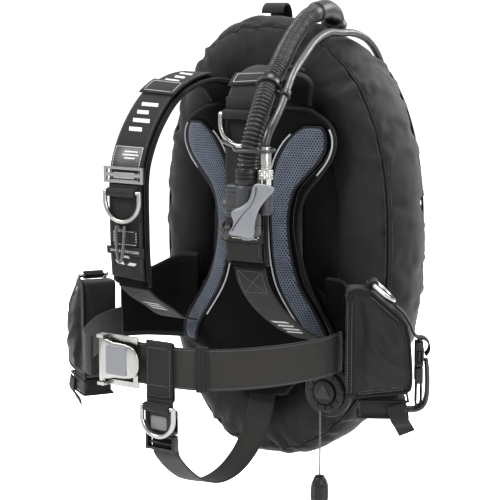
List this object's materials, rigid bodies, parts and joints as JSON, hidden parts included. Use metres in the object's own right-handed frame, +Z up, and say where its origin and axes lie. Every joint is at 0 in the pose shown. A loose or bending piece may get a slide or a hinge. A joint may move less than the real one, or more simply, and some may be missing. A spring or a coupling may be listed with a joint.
{
  "type": "scuba buoyancy compensator vest",
  "caption": "Rear-inflation scuba buoyancy vest with harness, crotch strap, weight pockets, inflator hose and tank band",
  "frame": {"origin": "On the axis of the diving cylinder, at half the height of the tank band", "axes": "+X towards the wearer's left, -Y forwards to the chest side, +Z up along the cylinder"},
  "size_m": [0.5445, 0.5241, 0.6383],
  "materials": {
    "shell_nylon": "coated nylon, dull black",
    "spacer_mesh": "blue-grey spacer mesh",
    "webbing": "woven polyester webbing",
    "moulded_plastic": "moulded, slightly satin",
    "stainless_steel": "polished stainless",
    "hose_rubber": "smooth rubber",
    "silver_plastic": "silver painted",
    "plated_brass": "nickel plated"
  },
  "bodies": {
    "vest": {"wing_shell": "shell_nylon", "wing_web": "shell_nylon", "back_plate": "moulded_plastic", "tank_saddle": "moulded_plastic", "saddle_bolts": "stainless_steel", "tank_band": "webbing", "cam_body": "moulded_plastic", "cam_pin": "stainless_steel", "grab_handle": "webbing", "back_pad": "shell_nylon", "mesh_panel_left": "spacer_mesh", "mesh_panel_right": "spacer_mesh", "shoulder_pad_left": "shell_nylon", "shoulder_pad_right": "shell_nylon", "shoulder_webbing_left": "webbing", "shoulder_webbing_right": "webbing", "strap_keepers": "webbing", "strap_slider": "stainless_steel", "ring_tabs": "webbing", "lower_webbing_left": "webbing", "lower_webbing_right": "webbing", "belt_left": "webbing", "belt_right": "webbing", "belt_keeper": "webbing", "buckle_frame": "stainless_steel", "buckle_pin": "stainless_steel", "hip_panel_left": "shell_nylon", "hip_panel_right": "shell_nylon", "pocket_left": "shell_nylon", "pocket_right": "shell_nylon", "hip_clips": "moulded_plastic", "crotch_strap": "webbing", "crotch_hanger": "webbing", "crotch_clip_female": "moulded_plastic", "hose_elbow": "moulded_plastic", "corrugated_hose": "hose_rubber", "hose_collar": "moulded_plastic", "hose_clip": "moulded_plastic", "inflator_body": "moulded_plastic", "inflator_cover": "silver_plastic", "mouthpiece": "hose_rubber", "lp_hose": "hose_rubber", "lp_fitting": "plated_brass", "lp_coupling": "plated_brass", "dump_body": "moulded_plastic"},
    "cam_lever": {"cam_lever": "moulded_plastic"},
    "buckle_lever": {"buckle_lever": "stainless_steel"},
    "chest_ring_left": {"chest_ring_left": "stainless_steel"},
    "chest_ring_right": {"chest_ring_right": "stainless_steel"},
    "crotch_ring": {"crotch_ring": "stainless_steel"},
    "hip_ring_left": {"hip_ring_left": "stainless_steel"},
    "hip_ring_right": {"hip_ring_right": "stainless_steel"},
    "weight_pouch_left": {"weight_pouch_left": "shell_nylon"},
    "weight_pouch_right": {"weight_pouch_right": "shell_nylon"},
    "crotch_clip_male": {"crotch_clip_male": "moulded_plastic"},
    "inflate_button": {"inflate_button": "silver_plastic"},
    "deflate_button": {"deflate_button": "silver_plastic"},
    "coupling_collar": {"coupling_collar": "plated_brass"},
    "dump_pull": {"dump_cord": "hose_rubber", "dump_knob": "moulded_plastic"}
  },
  "joints": [
    {"name": "cam_lever_hinge", "type": "hinge", "parent": "vest", "child": "cam_lever", "pos_m": [-0.026, 0.1028, 0], "axis": [0, 0, 1], "range_deg": [0, 100]},
    {"name": "buckle_lever_hinge", "type": "hinge", "parent": "vest", "child": "buckle_lever", "pos_m": [-0.07, -0.40725, -0.118], "axis": [0, 0, -1], "range_deg": [0, 110]},
    {"name": "chest_ring_left_hinge", "type": "hinge", "parent": "vest", "child": "chest_ring_left", "pos_m": [0.087, -0.3462, 0.178], "axis": [-1, 0, 0], "range_deg": [0, 110]},
    {"name": "chest_ring_right_hinge", "type": "hinge", "parent": "vest", "child": "chest_ring_right", "pos_m": [-0.082, -0.35, 0.077], "axis": [-1, 0, 0], "range_deg": [0, 110]},
    {"name": "crotch_ring_hinge", "type": "hinge", "parent": "vest", "child": "crotch_ring", "pos_m": [0.012, -0.4088, -0.166], "axis": [-1, 0, 0], "range_deg": [0, 110]},
    {"name": "hip_ring_left_hinge", "type": "hinge", "parent": "vest", "child": "hip_ring_left", "pos_m": [0.1919, -0.21069, -0.02975], "axis": [0.5, -0.866, 0], "range_deg": [0, 120]},
    {"name": "hip_ring_right_hinge", "type": "hinge", "parent": "vest", "child": "hip_ring_right", "pos_m": [-0.22732, -0.22753, -0.05575], "axis": [0.5592, 0.829, 0], "range_deg": [0, 120]},
    {"name": "weight_pouch_left_slide", "type": "slide", "parent": "vest", "child": "weight_pouch_left", "axis": [0, 0, -1], "range_m": [0, 0.15]},
    {"name": "weight_pouch_right_slide", "type": "slide", "parent": "vest", "child": "weight_pouch_right", "axis": [0, 0, -1], "range_m": [0, 0.15]},
    {"name": "crotch_clip_slide", "type": "slide", "parent": "vest", "child": "crotch_clip_male", "axis": [0, 0, -1], "range_m": [0, 0.022]},
    {"name": "inflate_button_slide", "type": "slide", "parent": "vest", "child": "inflate_button", "axis": [1, 0, 0], "range_m": [0, 0.003], "stiffness_N_per_m": 400, "springref_m": -0.004},
    {"name": "deflate_button_slide", "type": "slide", "parent": "vest", "child": "deflate_button", "axis": [0, 0, 1], "range_m": [0, 0.003], "stiffness_N_per_m": 400, "springref_m": -0.004},
    {"name": "coupling_collar_slide", "type": "slide", "parent": "vest", "child": "coupling_collar", "axis": [0, 0, 1], "range_m": [0, 0.005], "stiffness_N_per_m": 200, "springref_m": -0.004},
    {"name": "dump_pull_slide", "type": "slide", "parent": "vest", "child": "dump_pull", "axis": [0, 0, -1], "range_m": [0, 0.01], "stiffness_N_per_m": 300, "springref_m": -0.005}
  ]
}
